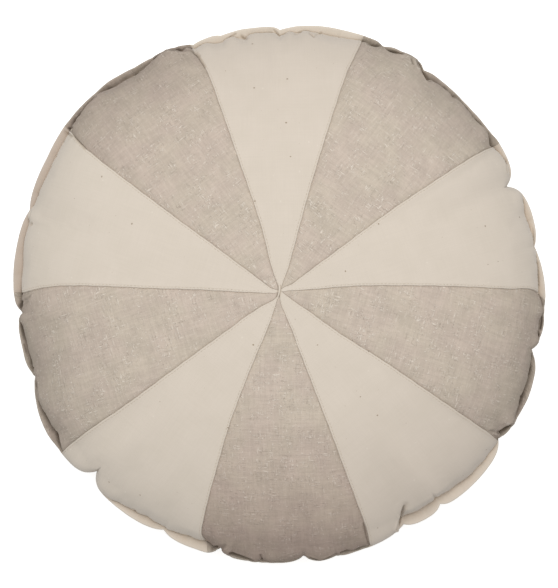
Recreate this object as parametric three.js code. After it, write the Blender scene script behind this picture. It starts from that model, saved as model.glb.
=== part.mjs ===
// A round patchwork cushion, 45 cm across, lying on its back. Millimetres, +Z up.
// It is one filled solid: a crowned face, a narrow flat flange round the rim, a back pressed
// flat where it lies, and a rim drawn in by puckers. Radii are measured from the hub, which
// is the point of the face where the ten wedge panels meet.
import * as THREE from "three";

// Driving dimensions
const RIM_HEIGHT = 54; // the flange above the surface the cushion lies on
const CROWN_RISE = 76; // from the flange up to the top of the face
const BELLY_DROP = 64; // from the flange down, before the surface presses the back flat
const LYING_SHARE = 0.5; // share of the back's radius that lies flat
const MEAN_RADIUS = 217; // the filled part of a cushion with no puckers
const FLANGE_WIDTH = 7.5; // from the stitched ditch out to the edge
const FLANGE_THICK = 2.6; // four layers of cloth, stitched down
const FACE_BULGE = 1.6; // how far the filled face swells out past the ditch
const SWELL_RISE = 5; // the height above the ditch at which it swells most
const HUB = { x: 0.4, y: 3 }; // the hub from the middle of the uneven outline

// How round the face and back are: 2 is an ellipse, more is flatter in the middle.
const FACE_FLATNESS = 2.3;
const BACK_FLATNESS = 2.3;
const SIDE_ROUNDNESS = 1.9;

// Seams between the panels, in degrees anticlockwise from +X, and the shallow valley at each
const SEAM_ANGLES = [0.3, 34.1, 71.9, 109.7, 142.5, 180.2, 216.4, 254, 289.1, 326.3];
const SEAM_DEPTH = 1.2;
const SEAM_REACH = 3.5; // the distance over which a valley fades

// The puckers of the rim, anticlockwise from +X. Each row says where one is (degrees), how far
// it draws the edge in (mm), how far it spreads before and after itself (degrees), how far the
// edge reaches half-way to the next one (mm from the hub), and how far it lifts the rim (mm).
const PUCKERS = [
  { at: 10, notch: 5.5, before: 6, after: 2.4, reach: 221.9, lift: 2 },
  { at: 24.8, notch: 11.5, before: 1.6, after: 1.8, reach: 222.6, lift: -4 },
  { at: 57, notch: 4.2, before: 6.5, after: 1.2, reach: 227, lift: 2 },
  { at: 67, notch: 2.4, before: 1.2, after: 1.4, reach: 225.8, lift: -2 },
  { at: 90, notch: 4.4, before: 3.8, after: 1.3, reach: 222.6, lift: 3 },
  { at: 103, notch: 1.6, before: 2, after: 1, reach: 222.4, lift: -2 },
  { at: 109.3, notch: 3.6, before: 2.2, after: 2.4, reach: 225, lift: 2 },
  { at: 123, notch: 1.2, before: 3, after: 3, reach: 228.8, lift: -3 },
  { at: 150, notch: 0.6, before: 4, after: 4, reach: 225, lift: 2 },
  { at: 162, notch: 3.2, before: 2.8, after: 2.4, reach: 224.4, lift: -3 },
  { at: 184.8, notch: 6.2, before: 1.6, after: 1.2, reach: 222, lift: 3 },
  { at: 199.2, notch: 5.8, before: 1.8, after: 2.8, reach: 229, lift: -3 },
  { at: 224.5, notch: 13, before: 1.8, after: 1.9, reach: 227.5, lift: 4 },
  { at: 244, notch: 4.4, before: 2.2, after: 1.8, reach: 227.8, lift: -2 },
  { at: 257, notch: 7.4, before: 1.3, after: 1.5, reach: 229, lift: 3 },
  { at: 275.2, notch: 7, before: 1.4, after: 1.1, reach: 230, lift: -3 },
  { at: 282, notch: 2.6, before: 2.2, after: 1.4, reach: 228.2, lift: 2 },
  { at: 298, notch: 5.8, before: 2.8, after: 1.8, reach: 227.6, lift: -3 },
  { at: 307, notch: 5.2, before: 1.5, after: 1.4, reach: 229.4, lift: 4 },
  { at: 326, notch: 6.4, before: 1.7, after: 2.2, reach: 227, lift: -3 },
  { at: 347, notch: 9, before: 2.6, after: 2.2, reach: 223.9, lift: 3 },
];
const NOTCH_START = 0.86; // share of the radius at which a notch begins to draw the cloth in
const FOLD_START = 0.76; // share of the radius at which its valley begins
const FOLD_FULL = 0.97; // and at which the valley is at its deepest
const FOLD_SPREAD = 1.7; // the valley is this much wider than the notch
const FOLD_DEPTH = 0.034; // share of the height that each millimetre of notch takes away
const LOBE_START = 0.55; // share of the radius at which the outline's unevenness begins
const LIFT_SPREAD = 2.2; // the rim's rise or dip is this much wider than the notch

// The rings of the mesh: their share of the radius, and their columns in each panel
const FACE_RINGS = [
  { reach: 0.1, columns: 1 },
  { reach: 0.2, columns: 2 },
  { reach: 0.34, columns: 4 },
  { reach: 0.48, columns: 8 },
  { reach: 0.61, columns: 16 },
  { reach: 0.72, columns: 16 },
  { reach: 0.82, columns: 32 },
  { reach: 0.905, columns: 32 },
  { reach: 0.96, columns: 32 },
  { reach: 0.99, columns: 32 },
  { reach: 1, columns: 32 },
];
const BACK_RINGS = [
  { reach: 0.26, columns: 4 },
  { reach: LYING_SHARE, columns: 8 },
  { reach: 0.62, columns: 16 },
  { reach: 0.73, columns: 16 },
  { reach: 0.84, columns: 16 },
  { reach: 0.93, columns: 32 },
  { reach: 0.99, columns: 32 },
];
const RIM_COLUMNS = 32;

const DEGREE = Math.PI / 180;

function smooth(from, to, value) {
  const share = THREE.MathUtils.clamp((value - from) / (to - from), 0, 1);
  return share * share * (3 - 2 * share);
}

// Degrees from one direction to another, between -180 and 180
function turn(from, to) {
  return ((((to - from + 180) % 360) + 360) % 360) - 180;
}

// How far a direction is from a pucker, in that pucker's own widths
function widthsAway(pucker, angle) {
  const away = turn(pucker.at, angle);
  return Math.abs(away) / (away < 0 ? pucker.before : pucker.after);
}

// 1 at a pucker, falling to 0 away from it: sharp for the edge's notches, soft for folds
function crease(pucker, angle) {
  return Math.exp(-widthsAway(pucker, angle));
}

function softCrease(pucker, angle, spread) {
  return Math.exp(-((widthsAway(pucker, angle) / spread) ** 2));
}

// The edge without its notches: from the middle of one lobe smoothly to the middle of the next
function lobeReach(angle) {
  const middles = PUCKERS.map((pucker, i) => {
    const next = PUCKERS[(i + 1) % PUCKERS.length];
    return { at: pucker.at + turn(pucker.at, next.at) / 2, reach: pucker.reach };
  });
  for (let i = 0; i < middles.length; i++) {
    const here = middles[i];
    const next = middles[(i + 1) % middles.length];
    const gap = turn(here.at, next.at);
    const away = turn(here.at, angle);
    if (away >= 0 && away < gap) {
      return THREE.MathUtils.lerp(here.reach, next.reach, smooth(0, gap, away));
    }
  }
  return middles[0].reach;
}

function notchDepth(angle) {
  return PUCKERS.reduce((depth, p) => depth + p.notch * crease(p, angle), 0);
}

function edgeRadius(angle) {
  return lobeReach(angle) - notchDepth(angle);
}

function rimHeight(angle) {
  return PUCKERS.reduce(
    (height, p) => height + p.lift * softCrease(p, angle, LIFT_SPREAD),
    RIM_HEIGHT,
  );
}

// The radius of a place on the face or back: round near the hub, uneven at the rim
function filledRadius(angle, share) {
  const lobes = lobeReach(angle) - FLANGE_WIDTH + FACE_BULGE;
  const radius = THREE.MathUtils.lerp(MEAN_RADIUS, lobes, smooth(LOBE_START, 1, share));
  return radius * share - notchDepth(angle) * smooth(NOTCH_START, 1, share);
}

// The height of the rim as a place on the face or back feels it
function middleHeight(angle, share) {
  return THREE.MathUtils.lerp(RIM_HEIGHT, rimHeight(angle), smooth(LOBE_START, 1, share));
}

// The share of its height that a place on the face or back keeps in the puckers' valleys
function foldShare(angle, share) {
  const growth = FOLD_DEPTH * smooth(FOLD_START, FOLD_FULL, share);
  return PUCKERS.reduce(
    (kept, p) => kept * (1 - Math.min(growth * p.notch, 1) * softCrease(p, angle, FOLD_SPREAD)),
    1,
  );
}

function seamDepth(angle, radius) {
  return SEAM_ANGLES.reduce((depth, seam) => {
    const away = Math.abs(Math.sin(turn(seam, angle) * DEGREE)) * radius;
    const sameSide = Math.abs(turn(seam, angle)) < 90;
    return sameSide ? Math.max(depth, SEAM_DEPTH * Math.exp(-away / SEAM_REACH)) : depth;
  }, 0);
}

// How high a filled side stands at a share of its radius: 1 at the hub, 0 at the rim
function roundness(share, flatness) {
  return (1 - share ** flatness) ** (1 / SIDE_ROUNDNESS);
}

// The directions of a ring's columns, spread evenly inside each panel
function ringAngles(columns) {
  return SEAM_ANGLES.flatMap((seam, i) => {
    const gap = turn(seam, SEAM_ANGLES[(i + 1) % SEAM_ANGLES.length]);
    return Array.from({ length: columns }, (_, column) => seam + (gap * column) / columns);
  });
}

function place(angle, radius, height) {
  return [
    HUB.x + radius * Math.cos(angle * DEGREE),
    HUB.y + radius * Math.sin(angle * DEGREE),
    height,
  ];
}

function facePoint(angle, share) {
  const radius = filledRadius(angle, share);
  const dome = (CROWN_RISE - SWELL_RISE) * roundness(share, FACE_FLATNESS);
  const rise = SWELL_RISE + dome * foldShare(angle, share);
  const valley = seamDepth(angle, radius) * smooth(0, SWELL_RISE, dome);
  return place(angle, radius, middleHeight(angle, share) + rise - valley);
}

function backPoint(angle, share) {
  const radius = filledRadius(angle, share);
  if (share <= LYING_SHARE) {
    return place(angle, radius, 0);
  }
  const belly = (BELLY_DROP - SWELL_RISE) * roundness(share, BACK_FLATNESS);
  const drop = SWELL_RISE + belly * foldShare(angle, share);
  return place(angle, radius, Math.max(middleHeight(angle, share) - drop, 0));
}

// Rings from the top of the face over the flange to the back
function cushionRings() {
  const half = FLANGE_THICK / 2;
  const ditch = (angle, side) =>
    place(angle, edgeRadius(angle) - FLANGE_WIDTH, rimHeight(angle) + side * half);
  const edge = (angle, side) => place(angle, edgeRadius(angle), rimHeight(angle) + side * half);
  const ring = (columns, point) => ringAngles(columns).map(point);
  return [
    ...FACE_RINGS.map(({ reach, columns }) => ring(columns, (angle) => facePoint(angle, reach))),
    ring(RIM_COLUMNS, (angle) => ditch(angle, 1)),
    ring(RIM_COLUMNS, (angle) => edge(angle, 1)),
    ring(RIM_COLUMNS, (angle) => edge(angle, -1)),
    ring(RIM_COLUMNS, (angle) => ditch(angle, -1)),
    ...BACK_RINGS.toReversed().map(({ reach, columns }) =>
      ring(columns, (angle) => backPoint(angle, reach)),
    ),
  ];
}

// Triangles between two rings, where one may have twice the other's columns
function bandTriangles(upper, upperStart, lower, lowerStart) {
  const triangles = [];
  const coarse = Math.min(upper.length, lower.length);
  const upperStep = upper.length / coarse;
  const lowerStep = lower.length / coarse;
  const upperAt = (i) => upperStart + (i % upper.length);
  const lowerAt = (i) => lowerStart + (i % lower.length);
  for (let i = 0; i < coarse; i++) {
    const u = i * upperStep;
    const l = i * lowerStep;
    for (let step = 0; step < lowerStep; step++) {
      triangles.push(upperAt(u), lowerAt(l + step), lowerAt(l + step + 1));
    }
    for (let step = 0; step < upperStep; step++) {
      triangles.push(upperAt(u + step), lowerAt(l + lowerStep), upperAt(u + step + 1));
    }
  }
  return triangles;
}

function cushionGeometry() {
  const rings = cushionRings();
  const points = [[HUB.x, HUB.y, RIM_HEIGHT + CROWN_RISE - SEAM_DEPTH]];
  const starts = rings.map((ring) => {
    const start = points.length;
    points.push(...ring);
    return start;
  });
  points.push([HUB.x, HUB.y, 0]);

  const triangles = [];
  const first = rings[0].length;
  for (let i = 0; i < first; i++) {
    triangles.push(0, starts[0] + i, starts[0] + ((i + 1) % first));
  }
  for (let i = 0; i + 1 < rings.length; i++) {
    triangles.push(...bandTriangles(rings[i], starts[i], rings[i + 1], starts[i + 1]));
  }
  const lastStart = starts.at(-1);
  const last = rings.at(-1).length;
  for (let i = 0; i < last; i++) {
    triangles.push(points.length - 1, lastStart + ((i + 1) % last), lastStart + i);
  }

  const geometry = new THREE.BufferGeometry();
  geometry.setAttribute("position", new THREE.Float32BufferAttribute(points.flat(), 3));
  geometry.setIndex(triangles);
  geometry.computeVertexNormals();
  return geometry;
}

// Ecru cotton, the cloth of every second panel and of the back
const ecruCotton = new THREE.MeshStandardMaterial({ color: 0xd9cebf, roughness: 0.95, metalness: 0 });

const cushion = new THREE.Mesh(cushionGeometry(), ecruCotton);
cushion.name = "cushion";

const part = new THREE.Group();
part.add(cushion);

export default part;
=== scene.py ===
import math
import bpy
import numpy as np
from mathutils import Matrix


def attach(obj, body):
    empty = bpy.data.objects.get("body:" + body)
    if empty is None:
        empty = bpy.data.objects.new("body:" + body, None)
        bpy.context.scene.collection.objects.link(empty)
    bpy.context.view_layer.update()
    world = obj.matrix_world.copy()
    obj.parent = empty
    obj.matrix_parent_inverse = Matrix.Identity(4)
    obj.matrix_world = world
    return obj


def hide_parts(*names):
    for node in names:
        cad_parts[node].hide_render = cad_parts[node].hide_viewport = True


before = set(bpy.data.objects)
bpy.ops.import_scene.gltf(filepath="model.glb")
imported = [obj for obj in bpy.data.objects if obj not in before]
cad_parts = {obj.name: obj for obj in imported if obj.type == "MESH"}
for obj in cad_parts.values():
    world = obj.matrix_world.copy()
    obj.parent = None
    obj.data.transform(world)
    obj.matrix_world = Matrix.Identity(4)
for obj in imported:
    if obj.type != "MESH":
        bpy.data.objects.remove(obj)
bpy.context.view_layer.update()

# Round patchwork cushion, lying on its back. Sizes below are millimetres, angles are degrees
# anticlockwise from +X about the hub, where the ten wedges meet. Places on it are measured for
# the face (side 1) and the back (side -1).
mm = 0.001
degree = math.pi / 180

cushion = {
    "hub": (0.4, 3.0),
    "meanRadius": 217,
    "rimHeight": 54,        # flange above the surface
    "rises": {1: 76, -1: 64},   # flange to top of the face, and to the back before it is pressed
    "lyingShare": 0.5,      # share of the back's radius that lies flat
    "flatness": 2.3,        # 2 is an ellipse, more is flatter in the middle
    "sideRoundness": 1.9,
    "ecruRoundness": 1.8,   # the firmer cotton meets the flange at a lower angle
    "linenSwell": 5,        # the filled part swells most this far above the ditch
    "ecruSwell": 1.3,
    "backSwell": 5,
    "fill": 0.7,
}
hub = np.array(cushion["hub"])
aroundRim = 2 * math.pi * cushion["meanRadius"]

# How the filling behaves near the rim, as shares of the radius
easing = {
    "lobeStart": 0.55,      # the outline's unevenness begins
    "pullWidth": 2.2,       # the cloth is drawn in or let out over this many times as far,
    "leastPull": 0.05,      # and over this share of the radius at least
    "foldStart": 0.86,      # a pucker's valley begins
    "foldFull": 0.99,
    "foldSpread": 1.3,      # the valley is this much wider than the notch
    "foldDepth": 0.006,     # share of the height taken by each millimetre of notch
    "liftSpread": 2.2,
}

# The puckers of the rim: where, how far the edge is drawn in, spread before and after (degrees),
# how far the edge reaches half-way to the next one, how far the rim lifts
puckerColumns = ("at", "notch", "before", "after", "reach", "lift")
puckerRows = [
    (10, 5.5, 6, 2.4, 221.9, 2),
    (24.8, 11.5, 1.6, 1.8, 222.6, -4),
    (57, 4.2, 6.5, 1.2, 227, 2),
    (67, 2.4, 1.2, 1.4, 225.8, -2),
    (90, 4.4, 3.8, 1.3, 222.6, 3),
    (103, 1.6, 2, 1, 222.4, -2),
    (109.3, 3.6, 2.2, 2.4, 225, 2),
    (123, 1.2, 3, 3, 228.8, -3),
    (150, 0.6, 4, 4, 225, 2),
    (162, 3.2, 2.8, 2.4, 224.4, -3),
    (184.8, 6.2, 1.6, 1.2, 222, 3),
    (199.2, 5.8, 1.8, 2.8, 229, -3),
    (224.5, 13, 1.8, 1.9, 227.5, 4),
    (244, 4.4, 2.2, 1.8, 227.8, -2),
    (257, 7.4, 1.3, 1.5, 229, 3),
    (275.2, 7, 1.4, 1.1, 230, -3),
    (282, 2.6, 2.2, 1.4, 228.2, 2),
    (298, 5.8, 2.8, 1.8, 227.6, -3),
    (307, 5.2, 1.5, 1.4, 229.4, 4),
    (326, 6.4, 1.7, 2.2, 227, -3),
    (347, 9, 2.6, 2.2, 223.9, 3),
]
pucker = {
    name: np.array(column, float)
    for name, column in zip(puckerColumns, zip(*puckerRows))
}

# The ten seams: their direction at these shares of the radius, the last on the flange
seamShares = (0.022, 0.037, 0.05, 0.075, 0.12, 0.23, 0.46, 0.70, 0.87, 0.96, 1.0, 1.03)
seamRows = [
    (1.0, 3.0, 2.8, 2.9, 3.1, 3.85, 2.5, 1.3, 0.55, 0.5, -0.3, -1.9),
    (42, 34, 31, 32.9, 34.6, 35.5, 36.1, 35.5, 35.0, 34.5, 34.2, 34.0),
    (71, 71, 70.4, 69.7, 71.0, 72.8, 73.6, 73.3, 72.9, 72.2, 71.9, 71.8),
    (108, 109, 110, 109.8, 108.6, 106.3, 107.3, 107.9, 108.3, 109.2, 109.8, 110.0),
    (162, 160, 156, 151.4, 148.2, 145.8, 144.8, 144.2, 143.8, 143.3, 142.7, 142.5),
    (199, 190, 188.6, 184.6, 182.2, 179.7, 178.8, 178.4, 178.9, 179.8, 180.3, 180.3),
    (240, 235, 228.6, 221, 217.3, 216.6, 216.4, 216.5, 216.1, 216.2, 216.4, 216.5),
    (257, 252, 253.4, 252.8, 252.5, 250.1, 249.2, 250.4, 251.3, 252.1, 253.3, 254.4),
    (270, 272, 274.8, 280.7, 285.4, 287.9, 289.6, 290.0, 290.1, 290.0, 289.5, 289.2),
    (327, 327, 325.4, 325.0, 325.4, 324.8, 326.0, 325.9, 325.8, 325.8, 325.7, 325.6),
]

# How much of the flange shows beside the filled part, as direction and width
flangeShows = [
    (0, 5.8), (5, 3.8), (8, 1.8), (9.7, 0.8), (12, 2.8), (15, 5.3), (17.5, 5.8), (20, 3.4),
    (22, 0.8), (24.8, 0.3), (27, 1.8), (29.5, 2.4), (33, 5.0), (35, 7.0), (37, 3.8), (38.6, 2.6),
    (41, 4.2), (45, 3.4), (50, 4.6), (53, 5.2), (55, 6.2), (57, 3.0), (59, 0.5), (61.6, 0.4),
    (63, 2.4), (65.2, 4.8), (67, 2.4), (69, 5.6), (72, 5.0), (76, 6.6), (80, 6.8), (82.6, 5.6),
    (84.3, 4.2), (86.3, 6.2), (88, 3.6), (90.3, 5.4), (93, 5.0), (96.6, 5.4), (98, 8.0),
    (99.4, 6.6), (101, 3.8), (104.5, 6.6), (107, 4.0), (110.5, 3.8), (112, 4.6), (113.6, 2.0),
    (115, 0.3), (116.8, 0.4), (118.2, 1.6), (120, 4.6), (122.5, 6.2), (125.5, 6.9), (130, 6.0),
    (133, 2.8), (136, 3.9), (139, 4.6), (143, 6.0), (150, 6.4), (155, 6.2), (158, 5.4),
    (160.6, 3.8), (162.3, 0.8), (163.4, 1.8), (165, 5.4), (168, 5.2), (171, 6.4), (174.5, 7.6),
    (178, 7.0), (181, 6.6), (182.8, 6.0), (184, 3.4), (185.2, 0.4), (186.4, 2.0), (188, 4.5),
    (192, 5.4), (195.5, 5.6), (197.6, 3.6), (199.2, 0.7), (200.6, 2.2), (204.5, 3.0), (207, 5.8),
    (210, 6.7), (212.6, 7.8), (214.2, 5.4), (216, 2.2), (218, 0.3), (227.5, 0.3), (230, 1.5),
    (233, 4.2), (236, 6.2), (239.5, 7.2), (242, 5.6), (244.3, 3.4), (246, 5.5), (248.5, 7.8),
    (252, 8.5), (254.4, 8.2), (256, 4.4), (257.2, 0.4), (258.7, 1.4), (260, 4.9), (262, 4.2),
    (264.4, 1.4), (266.1, 4.2), (268, 2.2), (272, 3.0), (274.2, 2.0), (275.2, 0.6),
    (276.6, 1.6), (278.5, 1.2), (280.5, 1.6), (282, 1.4), (283.5, 3.2), (286, 3.6), (288.4, 3.0),
    (290, 0.5), (295, 0.3), (296.5, 1.0), (297.6, 4.6), (298.8, 8.8), (302, 9.4), (305, 9.0),
    (307, 7.0), (309, 9.4), (312, 8.8), (316, 7.6), (320, 6.6), (323, 5.4), (325.2, 2.4),
    (326.2, 1.2), (327.5, 4.8), (329, 4.2), (330.4, 0.8), (331.6, 2.2), (334, 4.8), (337, 6.4),
    (341, 5.9), (344, 5.4), (345.6, 3.8), (346.8, 0.3), (349, 0.7), (350.6, 4.0), (353.4, 4.8),
    (356, 2.0), (357.6, 3.6),
]


def smooth(low, high, value):
    share = np.clip((value - low) / (high - low), 0, 1)
    return share * share * (3 - 2 * share)


def lerp(start, end, share):
    return start + (end - start) * share


def bell(away, width):
    return np.exp(-(away / width) ** 2)


def turn(start, end):       # degrees from one direction to another, -180 to 180
    return (end - start + 180) % 360 - 180


def polar(angle, radius):       # a point beside the hub, seen from above
    return radius * np.array([math.cos(angle * degree), math.sin(angle * degree)])


def fromHub(angle, radius, height):
    x = hub[0] + radius * np.cos(angle * degree)
    y = hub[1] + radius * np.sin(angle * degree)
    return np.stack([x, y, height], axis=-1)


def throughPoints(value, at, height):
    # a smooth curve through the rows of a table, which never overshoots them
    at = np.asarray(at, float)
    height = np.asarray(height, float)
    step = np.diff(height) / np.diff(at)
    slope = np.r_[step[0], (step[:-1] + step[1:]) / 2, step[-1]]
    slope[1:-1][step[:-1] * step[1:] <= 0] = 0
    value = np.clip(value, at[0], at[-1])
    i = np.clip(np.searchsorted(at, value, side="right") - 1, 0, len(at) - 2)
    gap = at[i + 1] - at[i]
    t = (value - at[i]) / gap
    return (
        height[i] * (1 + 2 * t) * (1 - t) ** 2
        + slope[i] * gap * t * (1 - t) ** 2
        + height[i + 1] * t * t * (3 - 2 * t)
        + slope[i + 1] * gap * t * t * (t - 1)
    )


def roundTable(angle, rows):        # a table that goes right round the rim
    at, height = np.array(rows, float).T
    at = np.r_[at[-2:] - 360, at, at[:2] + 360]
    height = np.r_[height[-2:], height, height[:2]]
    return throughPoints(angle % 360, at, height)


def widthsAway(angle):      # how far each pucker is, in its own widths
    away = turn(pucker["at"][:, None], angle[None, :])
    return np.abs(away) / np.where(away < 0, pucker["before"][:, None], pucker["after"][:, None])


def lobeReach(angle):       # the edge without its notches
    middle = (pucker["at"] + turn(pucker["at"], np.roll(pucker["at"], -1)) / 2) % 360
    order = np.argsort(middle)
    at = np.r_[middle[order[-1]] - 360, middle[order], middle[order[0]] + 360]
    reach = pucker["reach"][np.r_[order[-1], order, order[0]]]
    angle = angle % 360
    i = np.clip(np.searchsorted(at, angle, side="right") - 1, 0, len(at) - 2)
    return lerp(reach[i], reach[i + 1], smooth(0, 1, (angle - at[i]) / (at[i + 1] - at[i])))


def rimAt(angle):       # everything about the rim that depends on the direction alone
    away = widthsAway(angle)
    notch = pucker["notch"][:, None]
    spread = bell(away, easing["foldSpread"])
    return {
        "notch": (notch * np.exp(-away)).sum(0),
        "lobe": lobeReach(angle),
        "lift": (pucker["lift"][:, None] * bell(away, easing["liftSpread"])).sum(0),
        "fold": spread * notch,
        "spread": spread,
    }


# The sewn lines also wander a little between the hub and the rim
wander = {
    "waves": ((0.1, 3.1, 1.9), (0.06, 1.3, 1)),     # size, length and shift from seam to seam
    "begins": (8, 24),
    "ends": (204, 214),
}


def seamAngle(number, share):
    along = cushion["meanRadius"] * np.asarray(share, float)
    line = number % 10
    aside = sum(
        size * np.sin(along / length + shift * line) for size, length, shift in wander["waves"])
    aside = aside * smooth(*wander["begins"], along) * (1 - smooth(*wander["ends"], along))
    angle = throughPoints(share, seamShares, seamRows[line]) + 360 * (number // 10)
    return angle + aside / np.maximum(along, 6) / degree


def linenShare(angle, soft=1.4):        # 1 in the middle of a linen wedge, 0 in an ecru one
    share = np.zeros_like(angle)
    for line in range(1, 10, 2):
        start = seamRows[line][-1]
        end = seamRows[(line + 1) % 10][-1]
        inside = np.minimum(turn(start, angle), turn(angle, end))
        share = np.maximum(share, smooth(-soft, soft, inside))
    return share


def roundness(share, side, linen):
    ecruSide = cushion["ecruRoundness"] if side > 0 else cushion["sideRoundness"]
    power = lerp(ecruSide, cushion["sideRoundness"], linen)
    return (1 - share ** cushion["flatness"]) ** (1 / power)


flange = {
    "thick": 2.0,           # four layers of cloth in the middle of its width
    "ditchThick": 0.9,      # where the stitching holds them
    "meanShows": 5.9,
    "leastShows": 0.25,
    "hiddenPart": 0.25,     # of the rows across it, these lie below the filled part
    "linenLeaving": -50,    # its slope in the ditch, below the filled part
    "ecruLeaving": -10,
    "linenSlopes": ((0, 80), (0.1, 74), (0.3, 60), (0.65, 46), (1, 32)),   # across what shows,
    "ecruSlopes": ((0, 36), (0.12, 32), (0.4, 27), (1, 20)),               # out to its edge
    "steepest": 82,
    "curlWave": 0.2,
    "waveLengths": (33, 47, 71),
    "linenUndercut": 4.2,   # how far the filled part overhangs the ditch
    "ecruUndercut": 0.4,
    "leastWidth": 2.6,
    "ditchWave": 0.45,      # the edge of the filled part wanders
    "ditchLengths": (13, 19, 27),
    "backShows": 6.2,
    "backWave": 1.2,
    "backLengths": (40, 90),
    "backUndercut": 1.6,
    "clothRun": 7,          # length of cloth across it
    "steps": 24,
    "seed": 41,
}


def ripple(angle, lengths, seed):       # seeded waves round the rim, about -1 to 1
    draw = np.random.default_rng(seed)
    total = np.zeros_like(angle)
    for length in lengths:
        count = round(aroundRim / length)
        for shift in (-1, 0, 2):
            phase = draw.uniform(0, 360)
            total += draw.uniform(0.5, 1) * np.cos(((count + shift) * angle + phase) * degree)
    return total / (1.6 * len(lengths))


def rimPlaces(angle, side):     # how much flange shows beside this side, and its overhang
    if side > 0:
        wave = flange["ditchWave"] * ripple(angle, flange["ditchLengths"], flange["seed"])
        shows = np.maximum(roundTable(angle, flangeShows) + wave, flange["leastShows"])
        under = lerp(flange["ecruUndercut"], flange["linenUndercut"], linenShare(angle))
    else:
        wave = flange["backWave"] * ripple(angle, flange["backLengths"], flange["seed"] + 1)
        shows = flange["backShows"] + wave
        under = flange["backUndercut"]
    return shows, np.maximum(under, flange["leastWidth"] - shows)


def sidePoint(angle, place, side):
    # place runs 0 to 1 from the hub to where the side swells most, and on to 2 in the ditch
    rim = rimAt(angle)
    shows, under = rimPlaces(angle, side)
    share = np.minimum(place, 1)
    bend = np.clip(place - 1, 0, 1) * math.pi / 2
    uneven = smooth(easing["lobeStart"], 1, share)
    radius = lerp(cushion["meanRadius"], rim["lobe"] - flange["meanShows"], uneven) * share
    pull = rim["notch"] + shows - flange["meanShows"]
    pullWidth = easing["pullWidth"] * np.abs(pull) / cushion["meanRadius"]
    radius = radius - pull * smooth(1 - np.maximum(pullWidth, easing["leastPull"]), 1, share)
    growth = easing["foldDepth"] * smooth(easing["foldStart"], easing["foldFull"], share)
    kept = np.prod(1 - np.minimum(growth * rim["fold"], rim["spread"]), axis=0)
    swell = cushion["backSwell"]
    if side > 0:
        swell = lerp(cushion["ecruSwell"], cushion["linenSwell"], linenShare(angle))
    whole = cushion["rises"][side] - swell
    rise = swell + whole * roundness(share, side, linenShare(angle, 6)) * kept
    rest = flange["ditchThick"] / 2
    rise = np.where(place > 1, rest + (swell - rest) * (1 - np.sin(bend)), rise)
    radius = radius - under * (1 - np.cos(bend))
    height = cushion["rimHeight"] + rim["lift"] * uneven + side * rise
    if side < 0:
        height = np.where(share <= cushion["lyingShare"], 0, np.maximum(height, 0))
    return fromHub(angle, radius, height)


# Length of cloth from the hub along the mean face, to lay threads and stitches by
profileShare = np.sin(np.linspace(0, math.pi / 2, 600))
profileRise = (cushion["rises"][1] - cushion["linenSwell"]) * roundness(profileShare, 1, 1)
profileLength = np.r_[0, np.cumsum(np.hypot(
    np.diff(profileShare) * cushion["meanRadius"], np.diff(profileRise)))]
faceLength = profileLength[-1]


def shareAtLength(length):
    return np.interp(length, profileLength, profileShare)


def lengthAtShare(share):
    return np.interp(share, profileShare, profileLength)


def quadsBetween(upper, lower):     # between two rows of point numbers
    corners = [upper[..., :-1], lower[..., :-1], lower[..., 1:], upper[..., 1:]]
    return np.stack(corners, axis=-1).reshape(-1, 4)


def addObject(name, data):
    item = bpy.data.objects.new(name, data)
    bpy.context.scene.collection.objects.link(item)
    return item


def addMesh(name, points, faces):
    mesh = bpy.data.meshes.new(name)
    mesh.from_pydata(points.tolist(), [], faces)
    return addObject(name, mesh)


# The filling presses each side out, and the rim holds it: a cloth simulation on a round grid,
# with the cloth's rest lengths taken from the flat disc that it was cut as
settle = {
    "columns": 360,
    "firstShare": 0.35,     # inside this the cloth stays as shaped
    "easesIn": 0.2,         # over this much more of the radius
    "furthest": 8,          # no point moves more than this
    "cottonKeeps": 0.25,    # the firmer cotton lies smoother than the linen
    "linenKeeps": 0.5,
    "frames": 20,
    "fabric": {
        "quality": 5,
        "mass": 0.3,
        "use_pressure": True,
        "uniform_pressure_force": 4,
        "tension_stiffness": 15,
        "compression_stiffness": 15,
        "shear_stiffness": 5,
        "bending_stiffness": 0.5,
        "vertex_group_mass": "held",
        "pin_stiffness": 1,
    },
}


def settlePlaces(side):
    first = settle["firstShare"] if side > 0 else cushion["lyingShare"] - 0.04
    inner = np.linspace(first, 0.9, 26)[:-1]
    outer = np.linspace(0.9, 0.985, 9)
    return np.r_[inner, outer, 0.993, 0.998, 1, 1.5, 2]


def runCloth(grid, flat, faces, held):
    cloth = addMesh("settling", grid.reshape(-1, 3) * mm, faces.tolist())
    cloth.shape_key_add(name="Basis")
    cut = cloth.shape_key_add(name="cut")
    cut.data.foreach_set("co", (flat.reshape(-1) * mm).astype(np.float32))
    cut.value = 0
    cloth.vertex_groups.new(name="held").add(held.tolist(), 1, "REPLACE")
    modifier = cloth.modifiers.new("cloth", "CLOTH")
    for name, value in settle["fabric"].items():
        setattr(modifier.settings, name, value)
    modifier.settings.effector_weights.gravity = 0
    modifier.settings.rest_shape_key = cut
    modifier.collision_settings.use_collision = False
    modifier.point_cache.frame_start = 1
    modifier.point_cache.frame_end = settle["frames"]
    for step in range(1, settle["frames"] + 1):
        bpy.context.scene.frame_set(step)
    settled = cloth.evaluated_get(bpy.context.evaluated_depsgraph_get())
    found = np.zeros(grid.size, np.float32)
    settled.data.vertices.foreach_get("co", found)
    bpy.data.meshes.remove(cloth.data)      # and the object with it
    bpy.context.scene.frame_set(1)
    return found.reshape(grid.shape).astype(float) / mm


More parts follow.
